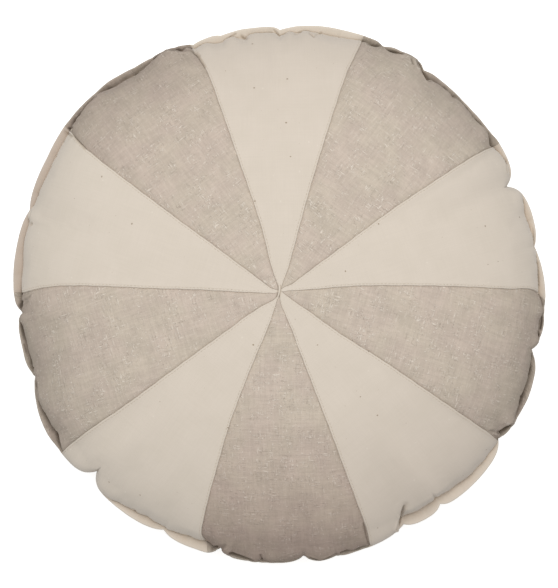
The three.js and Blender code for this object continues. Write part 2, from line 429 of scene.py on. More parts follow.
def simulateSide(side):
    places = settlePlaces(side)
    rows = len(places)
    columns = settle["columns"]
    angle = np.arange(columns) * 360 / columns
    grid = np.array([sidePoint(angle, place, side) for place in places])
    stretch = lerp(1, cushion["rises"][side] / cushion["rises"][1], 0.2)
    length = lengthAtShare(np.minimum(places, 1)) * stretch
    length = length + np.clip(places - 1, 0, 1) * cushion["backSwell"]
    spoke = np.stack([np.cos(angle * degree), np.sin(angle * degree), 0 * angle], axis=-1)
    index = np.arange(rows * columns).reshape(rows, columns)
    closed = np.c_[index, index[:, 0]]
    faces = quadsBetween(closed[:-1], closed[1:])[:, ::side]
    lastHeld = 1 if side > 0 else int((places <= cushion["lyingShare"] + 0.02).sum())
    held = np.r_[index[:lastHeld + 1].ravel(), index[-1]]
    moved = runCloth(grid, length[:, None, None] * spoke[None], faces, held) - grid
    size = np.linalg.norm(moved, axis=2, keepdims=True)
    moved = moved * np.minimum(1, settle["furthest"] / np.maximum(size, 1e-6))
    start = settle["firstShare"] if side > 0 else cushion["lyingShare"]
    moved = moved * smooth(start, start + settle["easesIn"], places)[:, None, None]
    if side > 0:
        keeps = lerp(settle["cottonKeeps"], settle["linenKeeps"], linenShare(angle, 5))
        moved = moved * keeps[None, :, None]
    print("cloth settled, side", side, "mean move", round(float(size.mean()), 2), "mm")
    return places, moved


def cubicWeights(t):
    return (
        -0.5 * t + t ** 2 - 0.5 * t ** 3,
        1 - 2.5 * t ** 2 + 1.5 * t ** 3,
        0.5 * t + 2 * t ** 2 - 1.5 * t ** 3,
        -0.5 * t ** 2 + 0.5 * t ** 3,
    )


def sampleMoved(side, angle, place):        # a smooth reading of the settled grid
    places, moved = settled[side]
    rows, columns = moved.shape[:2]
    row = np.interp(place, places, np.arange(rows))
    column = (angle % 360) / 360 * columns
    nearRow = np.floor(row).astype(int)
    nearColumn = np.floor(column).astype(int)
    total = np.zeros(angle.shape + (3,))
    for out, outWeight in zip(range(-1, 3), cubicWeights(row - nearRow)):
        for along, weight in zip(range(-1, 3), cubicWeights(column - nearColumn)):
            found = moved[np.clip(nearRow + out, 0, rows - 1), (nearColumn + along) % columns]
            total += (outWeight * weight)[..., None] * found
    return np.where((place >= places[0])[..., None], total, 0)


settled = {side: simulateSide(side) for side in (1, -1)}


def surfaceAt(side, angle, place):
    points = sidePoint(angle, place, side) + sampleMoved(side, angle, place)
    if side < 0:
        points[..., 2] = np.maximum(points[..., 2], 0)
    return points


def normalsAt(side, angle, place):
    turnStep = 0.15
    outStep = 0.002
    around = surfaceAt(side, angle + turnStep, place) - surfaceAt(side, angle - turnStep, place)
    outer = surfaceAt(side, angle, place + outStep)
    inner = surfaceAt(side, angle, np.maximum(place - outStep, 0))
    normal = np.cross(outer - inner, around)
    return normal / np.maximum(np.linalg.norm(normal, axis=-1, keepdims=True), 1e-9)


# Small gathers where the cloth is eased into the stitched ditch
gathers = {
    "count": 128,
    "uneven": 0.38,         # of the space between them
    "depth": (0.15, 1.5),
    "halfWidth": (0.9, 2.1),
    "length": (5, 24),      # how far each runs up the side
    "inCotton": 0.55,       # share of that depth in the firmer cloth
    "seeds": {1: 7, -1: 8},
}


def gatherList(seed):
    draw = np.random.default_rng(seed)
    count = gathers["count"]
    uneven = draw.uniform(-gathers["uneven"], gathers["uneven"], count)
    return list(zip(
        (np.arange(count) + uneven) * 360 / count,
        lerp(*gathers["depth"], draw.uniform(0, 1, count) ** 2),
        draw.uniform(*gathers["halfWidth"], count),
        lerp(*gathers["length"], draw.uniform(0, 1, count) ** 2),
    ))


gatherLists = {side: gatherList(seed) for side, seed in gathers["seeds"].items()}


def gatherDepth(side, angle, below):        # below is the length of cloth down to the rim
    depth = np.zeros_like(angle)
    for at, deep, wide, far in gatherLists[side]:
        away = np.abs(turn(at, angle)) * degree * cushion["meanRadius"]
        near = away < 4 * wide
        fade = np.exp(-np.maximum(below[near], 0) / (far * 0.45))
        depth[near] += deep * bell(away[near], wide) * fade
    return depth * lerp(gathers["inCotton"], 1, linenShare(angle, 3))


# Single creases, tucks and pockets that stand out: from and to as direction and radius, then
# depth, half-width and how dark the painted shade in them is
creases = [
    (300, 206, 296.3, 222, 4.6, 1, 0.75), (300.9, 203, 299.4, 209, 1.2, 2.6, 0.2),
    (37.6, 221, 34.9, 215, 1.0, 1, 0.05), (30.2, 219.5, 27.6, 215, 1.6, 0.9, 0.6),
    (14, 218.6, 9.6, 216.6, 1, 0.9, 0.3), (6.4, 217.4, 1.2, 217.2, 1, 0.8, 0.35),
    (354.9, 222.2, 351.9, 221.6, 2.6, 1.5, 1), (350.8, 220.6, 349.4, 221, 1.6, 1, 0.9),
    (346.2, 219, 344.6, 222, 1.6, 1.1, 0.75), (330.2, 224, 327.2, 218, 2.6, 1.3, 0.6),
    (327.6, 219, 326.4, 210, 1, 1.4, 0.25), (287.4, 226, 286.4, 227, 1.4, 1.1, 0.3),
    (285.4, 223.6, 283.2, 224, 1.2, 1, 0.2), (282.2, 223.4, 279.2, 228, 2.2, 1, 0.5),
    (278.2, 228, 275.8, 223, 2.2, 1, 0.5), (266.3, 227, 265.8, 219.6, 1.2, 0.8, 0.37),
    (264.6, 227, 259.4, 222.4, 2.4, 1.3, 0.4), (256.8, 217, 255.3, 222.6, 1.8, 1.2, 0.35),
    (258, 214, 257.2, 219, 1.2, 1.5, 0.25), (236.9, 221, 236.1, 219.6, 0.9, 0.9, 0.28),
    (215.6, 226.6, 212.5, 221, 1.8, 1.2, 0.25), (205.2, 222.6, 200.4, 217.2, 1.2, 0.9, 0.5),
    (190.6, 218.4, 187.2, 218.8, 1.8, 1.3, 0.5), (184, 219, 182.6, 216.4, 2.4, 1.5, 0.6),
    (182.6, 217, 181.1, 206.6, 1.1, 0.9, 0.3), (183.6, 216.4, 182.4, 209, 0.7, 1.2, 0.2),
    (165.4, 217, 164.8, 214.8, 1.4, 0.9, 0.44), (164.4, 218.6, 162.2, 219.6, 1, 0.8, 0.31),
    (143.3, 225, 143.4, 216, 1.2, 0.9, 0.5), (142.3, 224.6, 142.1, 220.6, 2, 1.2, 0.9),
    (114.9, 223.4, 111.6, 215.6, 1.6, 1.3, 1), (112.2, 217, 110.6, 214.8, 2, 1.4, 0.75),
    (110.4, 216, 109, 206, 0.8, 1.3, 0.5), (101.9, 216.4, 99.8, 219.4, 1.2, 0.8, 0.37),
    (98.7, 217.4, 97.6, 212.8, 1.2, 1.2, 0.55), (91.4, 219.6, 90.2, 213.8, 1.3, 0.8, 0.41),
    (89.4, 214.4, 87.6, 216.4, 0.9, 0.8, 0.28), (86.7, 214.4, 85.4, 217.6, 1.2, 0.9, 0.5),
    (83.6, 217.6, 82.4, 213.6, 1.3, 1, 0.6), (82.4, 214.6, 80.9, 219.6, 1, 0.8, 0.31),
    (70.3, 219, 68.4, 221.4, 1.4, 1, 0.7), (66, 222, 62.9, 223.6, 2.2, 1.3, 0.9),
    (60.6, 223, 59.6, 219, 1.4, 0.9, 0.5), (59, 223.4, 54.9, 214.8, 3.2, 1.35, 1),
    (118.9, 221.8, 117, 223.2, 0.8, 1.2, 1), (135.2, 225.2, 133.4, 223.8, 0.8, 0.9, 0.95),
    (141.4, 224, 135.4, 225.2, 0.7, 0.8, 0.6), (289.2, 226, 289.9, 204, 0.5, 0.8, 0.55),
    (143, 216, 143.9, 198, 0.4, 0.8, 0.4), (109.2, 210, 108.4, 194, 0.5, 0.8, 0.5),
    (48.6, 220.6, 46.2, 221, 0.6, 0.9, 0.15), (41.6, 218.6, 38.8, 219.4, 0.7, 0.9, 0.3),
    (343.6, 220.2, 341.4, 219.4, 0.8, 1, 0.6), (337.6, 221.4, 335, 222.4, 0.8, 1, 0.45),
    (193.8, 219.2, 191.8, 219.6, 0.7, 1, 0.5), (209.8, 221.6, 207.6, 222.2, 0.7, 1, 0.25),
]

# Painted shade beside the edges of the tongue that runs across the hub: points beside it, in
# millimetres
hubEdges = [
    ((-1.4, 4.6), (-1.35, 1.0), (-1.95, -2.1), (-2.5, -4.4)),
    ((0.75, 4.6), (0.6, 1.0), (0.0, -2.1), (-0.5, -4.6)),
]


def besideLine(points, start, end):     # how far along a line, 0 to 1, and how far from it
    run = end - start
    along = ((points - start) @ run) / (run @ run)
    away = np.linalg.norm(points - start - np.clip(along, 0, 1)[..., None] * run, axis=-1)
    return along, away


def creasesAt(points):      # how deep they are here, and how dark their painted shade is
    depth = np.zeros(points.shape[:-1])
    shade = np.zeros(points.shape[:-1])
    flat = points[..., :2] - hub
    for startAt, startOut, endAt, endOut, deep, wide, dark in creases:
        start = polar(startAt, startOut)
        end = polar(endAt, endOut)
        reach = np.linalg.norm(end - start) / 2 + 4 * wide
        near = np.linalg.norm(flat - (start + end) / 2, axis=-1) < reach
        along, away = besideLine(flat[near], start, end)
        valley = bell(away, wide) - 0.22 * bell(away - 2.1 * wide, wide)
        depth[near] += deep * smooth(-0.3, 0.5, along) * valley
        # painted shade along the crease, as dark as its table row says
        line = dark * smooth(-0.3, 0.3, along) * bell(away, 0.9 * wide)
        shade[near] = np.maximum(shade[near], line)
    return depth, shade


# painted shade beside the edges of the tongue
def hubShade(points):
    shade = np.zeros(points.shape[:-1])
    for edge in np.array(hubEdges):
        for start, end in zip(edge[:-1], edge[1:]):
            along, away = besideLine(points[..., :2] - hub, start, end)
            shade = np.maximum(shade, 0.5 * bell(away, 0.6))
    return shade


# Painted shade in the ditch beside the flange, most of all in the linen, and painted spots of shade
# along it
ditchShades = [
    (2, 0.18), (12, 0.16), (30, 0.18), (36, 0.3), (50, 0.5), (70, 0.55), (74, 0.1), (86, 0.28),
    (106, 0.22), (111, 0.6), (140, 0.6), (144, 0.06), (178, 0.05), (182, 0.6), (198, 0.45),
    (206, 0.22), (214, 0.2), (218, 0.02), (250, 0), (256, 0.12), (268, 0.25), (288, 0.36),
    (291, 0), (324, 0), (328, 0.6), (350, 0.6), (357, 0.5),
]
ledgeShadeAndTones = [      # how much darker than the face the flange is painted: its own tone and painted shade
    (3, 1.3), (32, 1.25), (36, 0.75), (70, 0.8), (74, 0.2), (107, 0.2), (112, 1.1), (141, 1.1),
    (145, 0.6), (178, 0.6), (182, 0.75), (215, 0.7), (219, 0.7), (251, 0.7), (256, 0.12),
    (288, 0.12), (292, 0.6), (324, 0.6), (328, 0.85), (357, 0.85),
]
ditch = {
    "linenVaries": 0.4,
    "ecruVaries": 0.08,
    "shadeWidth": 1.2,
    "shadeLengths": (10, 17, 29),
    "spotLengths": (13, 21),
    "spotShade": 0.5,
    "spotMiddle": 1.5,      # from the edge of the filled part
    "spotWidth": 2.2,
    "onSteep": 0.45,        # share of the painted shade left where the cloth is nearly upright
    "seed": 19,
}


def ditchShade(angle, away):        # painted shade in the ditch; away is measured out from the edge of the filled part
    linen = linenShare(angle, 0.8)
    wave = ripple(angle, ditch["shadeLengths"], ditch["seed"])
    varies = lerp(ditch["ecruVaries"], ditch["linenVaries"], linen)
    line = np.clip(roundTable(angle, ditchShades) + varies * wave, 0, 1)
    # painted dark spots: shade in small pockets along the linen's ditch
    spot = smooth(0.2, 0.75, ripple(angle, ditch["spotLengths"], ditch["seed"] + 1))
    spot = spot * linen * ditch["spotShade"] * bell(away - ditch["spotMiddle"], ditch["spotWidth"])
    return np.maximum(line * bell(away, ditch["shadeWidth"]), spot * smooth(-1.5, 1, away))


# Along a seam the ecru edge is turned under and stitched down over the linen.
# Height of the cloth beside it, by the distance from the turned edge
seam = {
    "ecruOffsets": (0, 0.12, 0.35, 0.75, 1.2, 1.6, 2.0, 2.6, 3.6, 5.2, 7.5),
    "ecruHeights": (-0.75, -0.2, 0.2, 0.36, 0.32, 0.12, 0.28, 0.26, 0.14, 0.04, 0),
    "linenOffsets": (-0.3, 0.1, 0.45, 0.9, 1.4, 2.0, 2.7, 3.6, 4.8, 6.2, 8.0),
    "linenHeights": (-1.1, -0.85, -0.6, -0.4, -0.26, -0.17, -0.1, -0.05, -0.02, 0, 0),
    "valleyDepth": 0.6,     # both sides dip together
    "valleyWidth": 4.0,
    "tipReach": 8,          # near the hub the ecru tips cover the linen ones, by this much:
    "tipCovers": {1: 0.5, 3: 0.4, 5: 0.5, 7: 0.4, 9: 0.4},
    "stitchFrom": 1.6,      # the line of stitches, from the edge
    "pinchLength": 3.1,     # and the small pinches that it makes in the linen
    "pinchDepth": 0.2,
    "pinchWidth": 1.7,
}


def tipCover(line, radius):     # line is a seam's number; the linen wedge beside it is odd
    linenWedge = (line if line % 2 else line - 1) % 10
    return seam["tipCovers"][linenWedge] * (1 - smooth(0, seam["tipReach"], radius))


def seamRelief(distance, length, index, kind):
    low = np.interp(distance, seam[kind + "Offsets"], seam[kind + "Heights"])
    away = np.maximum(distance, 0)
    low = low - seam["valleyDepth"] * np.exp(-away / seam["valleyWidth"])
    if kind == "linen":
        wave = np.cos(2 * math.pi * length / seam["pinchLength"] + 1.3 * index)
        wave = wave * (0.6 + 0.4 * np.sin(length / 6.1 + index))
        low = low + seam["pinchDepth"] * wave * np.exp(-away / seam["pinchWidth"])
    return low


def flangeSlopes(angle, shows):
    # the slope of the flange's middle line in the ditch, and in steps across what shows of it
    linen = linenShare(angle, 2.2)
    wave = ripple(angle, flange["waveLengths"], flange["seed"] + 2)
    curl = smooth(0.3, 3.2, shows) * (1 + flange["curlWave"] * wave)
    steps = np.linspace(0, 1, flange["steps"] + 1)
    ecruSlopes, linenSlopes = [
        np.interp(steps, *zip(*flange[name]))[:, None] for name in ("ecruSlopes", "linenSlopes")]
    slopes = np.minimum(lerp(ecruSlopes, linenSlopes, linen) * curl, flange["steepest"])
    leaving = lerp(flange["ecruLeaving"], flange["linenLeaving"], linen) * np.minimum(curl, 1)
    return leaving * degree, slopes * degree


def flangePoint(angle, out, side, fatness=1):
    # out runs from 0 in the ditch, across the hidden part to below the edge of the filled part,
    # to 1 where the flange's own edge begins to round, 2 at mid-edge and 3 on the far side
    rim = rimAt(angle)
    edge = rim["lobe"] - rim["notch"]
    half = flange["thick"] / 2
    shows, under = rimPlaces(angle, 1)
    turnAt = np.minimum(edge - shows + 0.5, edge - half - 1)
    hidden = turnAt - (edge - shows - under)
    leaving, slopes = flangeSlopes(angle, shows)
    middle = (slopes[1:] + slopes[:-1]) / 2
    none = np.zeros((1, len(angle)))
    ahead = np.concatenate([none, np.cumsum(np.cos(middle), axis=0)])
    up = np.concatenate([none, np.cumsum(np.sin(middle), axis=0)])
    length = (edge - half - turnAt) / ahead[-1]
    across = np.minimum(out, 1)
    hiddenPart = flange["hiddenPart"]
    step = np.clip((across - hiddenPart) / (1 - hiddenPart), 0, 1) * flange["steps"]
    i = np.minimum(step.astype(int), flange["steps"] - 1)
    column = np.arange(len(angle))
    along, rise, slope = [
        lerp(table[i, column], table[i + 1, column], step - i) for table in (ahead, up, slopes)]
    inward = hidden
    if side < 0:
        backShows, backUnder = rimPlaces(angle, -1)
        inward = np.maximum(turnAt - (edge - backShows - backUnder), 0)
    inward = inward * np.maximum(1 - across / hiddenPart, 0)
    slope = lerp(leaving, slope, smooth(0.08, hiddenPart, across))
    fat = lerp(flange["ditchThick"] / 2, half, smooth(0, 0.5, across)) * fatness
    faces = slope + side * math.pi / 2 * (1 - np.clip(out - 1, 0, 2))
    low = hidden * np.tan(leaving) * (1 - inward / np.maximum(hidden, 0.1))
    height = rise * length + low + fat * np.sin(faces)
    radius = turnAt + along * length - inward + fat * np.cos(faces)
    return fromHub(angle, radius, cushion["rimHeight"] + rim["lift"] + height)


def joinRows(above, aboveKeys, below, belowKeys):
    # faces between two rows of points, which may have different numbers of columns
    if len(above) == len(below) and np.allclose(aboveKeys, belowKeys):
        return quadsBetween(above, below).tolist()
    faces = []
    above = above.tolist()
    below = below.tolist()
    aboveKeys = [*aboveKeys, math.inf]
    belowKeys = [*belowKeys, math.inf]
    a = 0
    b = 0
    while a < len(above) - 1 or b < len(below) - 1:
        gap = aboveKeys[a + 1] - belowKeys[b + 1]
        face = [above[a], below[b]]
        if gap > -1e-7:
            b += 1
            face.append(below[b])
        if gap < 1e-7:
            a += 1
            face.append(above[a])
        faces.append(face)
    return faces


def facesOfRows(rowKeys, closed=0):
    # points are numbered row by row, and a closed row's last key stands for its first point
    faces = []
    count = 0
    last = None
    for keys in rowKeys:
        size = len(keys) - closed
        numbers = count + np.arange(len(keys)) % size
        if last:
            faces += joinRows(*last, numbers, keys)
        last = (numbers, keys)
        count += size
    return faces, count


def makePiece(name, points, faces, material, slotName, **layers):
    piece = addMesh(name, points * mm, faces)
    mesh = piece.data
    mesh.update()
    mesh.polygons.foreach_set("use_smooth", [True] * len(mesh.polygons))
    for layer, values in layers.items():
        attribute = mesh.attributes.new(layer, "FLOAT_VECTOR", "POINT")
        attribute.data.foreach_set("vector", values.astype(np.float32).ravel())
    mesh.materials.append(material)
    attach(piece, "root")
    print(name, "made:", len(mesh.polygons), "faces")
    return piece


wedge = {
    "hubLengths": (0.4, 1.0, 1.7, 2.5, 3.4, 4.4, 5.4, 6.5, 7.6, 8.8, 10, 11.2),
    "middleStep": 1.3,
    "rimLength": 26,        # the last stretch before the rim has finer rows
    "rimStep": 0.65,
    "underPlaces": (1.1, 1.22, 1.34, 1.46, 1.58, 1.7, 1.82, 1.92, 2.0),
    "flangeOuts": (0.06, 0.12, 0.19, 0.25, 0.31, 0.38, 0.45, 0.52, 0.59, 0.66, 0.74, 0.82,
                   0.91, 1.0, 1.25, 1.5, 1.75, 2.0, 2.25, 2.5, 2.7),
    "finestColumns": 192,
    "finestFrom": 0.88,     # share of the radius
    "lastNormal": 1.97,     # the place up to which the surface has a sound normal
    "reliefEnds": (1.3, 2),     # seams and gathers fade out between these places
    "clothApart": 300,      # between the flat cuts of the wedges
    # painted shade: how much darker than the others each wedge is painted at the rim, and on its
    # flange; below zero it is painted lighter
    "rimPaintedShade": (0, 0, 0.04, 0.07, -0.05, 0, -0.03, 0.24, 0.06, 0.04),
    "flangePaintedShade": (0.03, 0, -0.05, 0.05, 0.2, 0, 0.02, -0.08, 0.02, 0.02),
}
slots = {"ecru": "ecru_cotton", "linen": "taupe_linen", "thread": "sewing_thread"}


def kindOf(index):      # wedges are numbered anticlockwise from +X
    return "linen" if index % 2 else "ecru"


def wedgeLengths():
    middle = np.arange(wedge["hubLengths"][-1] + wedge["middleStep"],
                       faceLength - wedge["rimLength"], wedge["middleStep"])
    rimRows = round(wedge["rimLength"] / wedge["rimStep"])
    rim = np.linspace(faceLength - wedge["rimLength"], faceLength, rimRows)
    return np.r_[wedge["hubLengths"], middle, rim]


def columnsAt(share):       # fewer columns towards the hub, always half of the next
    columns = wedge["finestColumns"]
    limit = wedge["finestFrom"]
    while share < limit and columns > 4:
        columns //= 2
        limit *= 0.5
    return columns


def wedgeRows(index):
    offsets = np.array(seam[kindOf(index) + "Offsets"], float)
    # each row's zone, place in it, share of the radius, place along the seam and cloth length
    places = []
    for length in wedgeLengths():
        share = shareAtLength(length)
        places.append(("dome", share, share, share, length))
    for place in wedge["underPlaces"]:
        places.append(("under", place, 1, 1 + 0.008 * (place - 1), faceLength))
    for out in wedge["flangeOuts"]:
        places.append(("flange", out, 1, 1.008 + 0.022 * min(out, 1), faceLength))
    rows = []
    for zone, place, share, onSeam, length in places:
        radius = max(cushion["meanRadius"] * share, 0.3)
        start = float(seamAngle(index, onSeam))
        width = (float(seamAngle(index + 1, onSeam)) - start) * degree * radius
        covers = [tipCover(line, radius) for line in (index, index + 1)]
        if kindOf(index) == "ecru":
            covers = [-min(cover, 0.3 * radius) for cover in covers]
        begin = covers[0]
        finish = width - covers[1]
        if finish - begin < 0.3:
            continue
        squeeze = min(1, (finish - begin) / (3.0 * offsets[-1]))
        edge = offsets * squeeze
        columns = columnsAt(share)
        inner = np.linspace(begin + edge[-1], finish - edge[-1], columns + 1)
        across = np.r_[begin + edge[:-1], inner, finish - edge[-2::-1]]
        fromEdge = np.maximum(np.minimum(inner - begin, finish - inner) / squeeze, offsets[-1])
        edgeKeys = np.arange(len(edge) - 1)
        rows.append({
            "zone": zone,
            "keys": np.r_[edgeKeys - len(edgeKeys), np.linspace(0, 1, columns + 1), 2 + edgeKeys],
            "place": place,
            "length": length,
            "angle": start + across / radius / degree,
            "lean": across - width / 2,
            "fromEdge": np.r_[offsets[:-1], fromEdge, offsets[-2::-1]],
            "ease": lerp(0.35, 1, min(1.0, squeeze * 1.2)),     # less relief where it is narrow
        })
    return rows


def shapeFace(angle, place, length, relief):
    # its points, length of cloth from the hub, and the painted shade in its folds and the ditch
    found = surfaceAt(1, angle, place)
    normal = normalsAt(1, angle, np.minimum(place, wedge["lastNormal"]))
    crease, shade = creasesAt(found)
    dent = gatherDepth(1, angle, faceLength - length) + crease
    found = found + normal * ((relief - dent) * (1 - smooth(*wedge["reliefEnds"], place)))[:, None]
    # painted shade of the ditch and folds, weaker where the cloth is steep
    away = 1.6 * (faceLength - length) + 6 * np.maximum(place - 1, 0)
    shade = np.maximum(shade * (1 - smooth(1, 1.3, place)), ditchShade(angle, away))
    shade = shade * lerp(ditch["onSteep"], 1, smooth(0.25, 0.65, normal[:, 2]))
    run = length + np.maximum(place - 1, 0) * cushion["linenSwell"]
    return found, run, np.maximum(shade, hubShade(found)), 0 * shade


def shapeFlange(angle, place, length, relief):
    # the same for the strip of flange, and how far it takes the flange's tone and painted shade
    found = flangePoint(angle, place, 1)
    crease, shade = creasesAt(found)
    dent = 0.6 * gatherDepth(1, angle, 0 * angle) * (1 - smooth(0.5, 1.5, place))
    dent = dent + 0.7 * crease * (1 - smooth(0.9, 1.5, place))
    shows, under = rimPlaces(angle, 1)
    hiddenPart = flange["hiddenPart"]
    beyond = place - hiddenPart
    away = np.where(beyond > 0, beyond / (1 - hiddenPart) * shows, beyond / hiddenPart * under)
    shade = np.maximum(shade * smooth(-2, 0, away), ditchShade(angle, away))
    # the flange's own tone with painted shade, stronger or weaker in patches
    patch = 0.75 + 0.45 * ripple(angle, ditch["shadeLengths"], ditch["seed"] + 2)
    ledge = patch * smooth(0.1, 0.3, place) * (1 - 0.9 * smooth(0.55, 1.15, place))
    ledge = np.minimum(ledge * roundTable(angle, ledgeShadeAndTones), 1)
    found[:, 2] += 0.5 * relief * (1 - smooth(1, 1.6, place)) - dent
    run = length + cushion["linenSwell"] + place * flange["clothRun"]
    return found, run, shade * (1 - smooth(0.9, 1.3, place)), ledge


def makeWedge(index, material):
    kind = kindOf(index)
    rows = wedgeRows(index)
    firstColumn = wedge["clothApart"] * index
    parts = []      # as points, their places on the flat cut, and their painted shade and tones at the rim
    for flat, shape, darker in (
            (False, shapeFace, "rimPaintedShade"), (True, shapeFlange, "flangePaintedShade")):
        part = [row for row in rows if (row["zone"] == "flange") == flat]
        angle, place, length, lean, fromEdge, ease = [
            np.concatenate([np.broadcast_to(row[name], len(row["keys"])) for row in part])
            for name in ("angle", "place", "length", "lean", "fromEdge", "ease")]
        relief = seamRelief(fromEdge, length, index, kind) * ease
        found, run, shade, ledge = shape(angle, place, length, relief)
        lean = lean / run
        # the wedge's painted shade towards the rim, or on its flange
        paintedRimShade = np.full_like(shade, wedge[darker][index])
        cloth = np.c_[firstColumn + run * np.sin(lean), run * np.cos(lean), 0 * lean]
        parts.append((found, cloth, np.c_[shade, ledge, paintedRimShade]))
    faces, count = facesOfRows([row["keys"] for row in rows])
    first = len(rows[0]["keys"])
    if kind == "linen":
        tip = parts[0][0][:first].mean(0)
        tip[:2] = lerp(tip[:2], hub, 0.5)       # on under the ecru tips
        tip[2] -= 0.7
    else:
        tip = hubPoint() - [0, 0, 1.0]
    parts.append(([tip], [(firstColumn, 0, 0)], [(0, 0, 0)]))
    faces += [(count, left, left + 1) for left in range(first - 1)]
    if index == tongue["wedge"]:
        addTongue(parts, faces, count + 1, firstColumn)
    points, cloth, rim = [np.concatenate(column) for column in zip(*parts)]
    return makePiece(f"{kind}Wedge.{index // 2 + 1}", points, faces, material, slots[kind],
                     cloth=cloth, rim=rim)


# The top ecru wedge ends in a thin turned tongue, which runs on across the hub
tongue = {
    "wedge": 2,
    "from": 4.2,            # this far from the hub
    "past": 5.2,            # and this far beyond it
    "leans": (90, 254),     # its direction before the hub and after it
    "aside": (-0.35, 0),
    "halfWidth": 0.8,
    "slant": (1.0, 0.08),
    "narrows": (1.25, 0.9),     # in shares of the half-width, between these steps:
    "narrowing": (-3, 3),
    "bluntOver": 1.6,       # the last stretch is rounded
    "rise": 0.7,
    "risesOver": 1.5,
    "curls": 0.9,           # how far its edges turn under
    "endDrops": 0.5,
    "sinks": 0.12,
    "edgeShade": 0.4,
    "rows": 26,
    "columns": 9,
}


def hubPoint():
    return surfaceAt(1, np.zeros(1), np.zeros(1))[0]


def addTongue(parts, faces, count, firstColumn):
    columns = tongue["columns"]
    across = np.linspace(-1, 1, columns)
    crown = hubPoint()[2]
    for step in np.linspace(-tongue["from"], tongue["past"], tongue["rows"]):
        middle = polar(tongue["leans"][0 if step < 0 else 1], abs(step))
        blunt = np.sqrt(np.clip((tongue["past"] - step) / tongue["bluntOver"], 0, 1))
        half = tongue["halfWidth"] * lerp(*tongue["narrows"], smooth(*tongue["narrowing"], step))
        half = half * blunt + 0.02
        flat = middle + across[:, None] * half * np.array(tongue["slant"]) + hub + tongue["aside"]
        rise = tongue["rise"] * (1 - across ** 4) - tongue["curls"] * across ** 8
        rise = rise - tongue["endDrops"] * (1 - blunt)
        rise = rise * smooth(0, tongue["risesOver"], step + tongue["from"]) - tongue["sinks"]
        cloth = np.c_[firstColumn + across * half, np.full(columns, -step), 0 * across]
        # painted shade along the tongue's turned-under edges
        edges = tongue["edgeShade"] * smooth(0.6, 1, np.abs(across))
        parts.append((np.c_[flat, crown + rise], cloth, np.c_[edges, 0 * edges, 0 * edges]))
    numbers = count + np.arange(tongue["rows"] * columns).reshape(-1, columns)
    faces += quadsBetween(numbers[:-1], numbers[1:])[:, ::-1].tolist()


backPanel = {
    "tuckedOuts": ((1.6, 0.6), (1.36, 0.88)),       # and fatness, below the face cloth's edge
    "flangeOuts": (1.22, 1.1, 1.0, 0.86, 0.7, 0.54, 0.38, 0.24, 0.12, 0.0),
    "underPlaces": (1.8, 1.6, 1.4, 1.2, 1.0),
    "sideRows": 46,
    "lyingShares": (0.5, 0.44, 0.37, 0.3, 0.22, 0.15, 0.08),
    "sideColumns": 720,
    "lyingColumns": 180,
    "flangeRun": 6,         # length of cloth across its flange
    "clothAt": -900,        # where its flat cut lies beside the wedges
}


def rimAngles():        # the back's edge has the same columns as the wedges
    starts = [float(seamAngle(index, seamShares[-1])) for index in range(11)]
    columns = wedge["finestColumns"]
    return np.concatenate([
        np.linspace(start, end, columns, endpoint=False)
        for start, end in zip(starts[:-1], starts[1:])])


def backRows():     # points, directions and length of cloth from the hub, from the edge inwards
    around = rimAngles()
    side, lying = [
        around[0] + np.arange(backPanel[name]) * 360 / backPanel[name]
        for name in ("sideColumns", "lyingColumns")]
    rows = []
    outs = [*backPanel["tuckedOuts"], *[(out, 1) for out in backPanel["flangeOuts"]]]
    for out, fatness in outs:
        found = flangePoint(around, 0 * around + out, -1, fatness)
        run = faceLength + cushion["backSwell"] + backPanel["flangeRun"] * out
        rows.append((found, around, run))
    lengths = np.linspace(faceLength, lengthAtShare(cushion["lyingShare"]), backPanel["sideRows"])
    places = [
        (place, faceLength + cushion["backSwell"] * (place - 1))
        for place in backPanel["underPlaces"]]
    places += [(shareAtLength(length), length) for length in lengths[1:-1]]
    for place, length in places:
        place = np.full_like(side, place)
        normal = normalsAt(-1, side, np.minimum(place, wedge["lastNormal"]))
        dent = gatherDepth(-1, side, faceLength - length + 0 * side)
        dent = dent * smooth(0.5, 0.7, place) * (1 - smooth(*wedge["reliefEnds"], place))
        found = surfaceAt(-1, side, place) + normal * dent[:, None]
        found[:, 2] = np.maximum(found[:, 2], 0)
        rows.append((found, side, length))
    for share in backPanel["lyingShares"]:
        rows.append((surfaceAt(-1, lying, 0 * lying + share), lying, lengthAtShare(share)))
    return rows


def makeBack(material):
    rows = backRows()
    firstAngle = rows[0][1][0]
    clothAt = [backPanel["clothAt"], 0, 0]
    points = [found for found, angle, run in rows]
    cloth = [
        np.c_[run * np.sin(angle * degree), run * np.cos(angle * degree), 0 * angle] + clothAt
        for found, angle, run in rows]
    keys = [np.r_[(angle - firstAngle) / 360, 1.0] for found, angle, run in rows]
    faces, count = facesOfRows(keys, closed=1)
    points.append([[*hub, 0]])
    cloth.append([clothAt])
    last = range(count - backPanel["lyingColumns"], count)
    faces += [(count, right, left) for left, right in zip(last, [*last[1:], last[0]])]
    return makePiece("backPanel", np.concatenate(points), faces, material, slots["ecru"],
                     cloth=np.concatenate(cloth))


stitch = {
    "pitch": 3.0,           # from one needle hole to the next
    "long": 2.45,
    "thick": 0.42,
    "dip": 0.22,            # the ends go down into the cloth
    "above": 0.14,
    "seamFrom": 5.5,        # length of cloth from the hub
    "seamTo": 1.5,          # and to the rim
    "flangeIn": 1.3,        # from the ditch
    "flangePitch": 2.9,
    "sides": 6,
    "rings": 5,
}


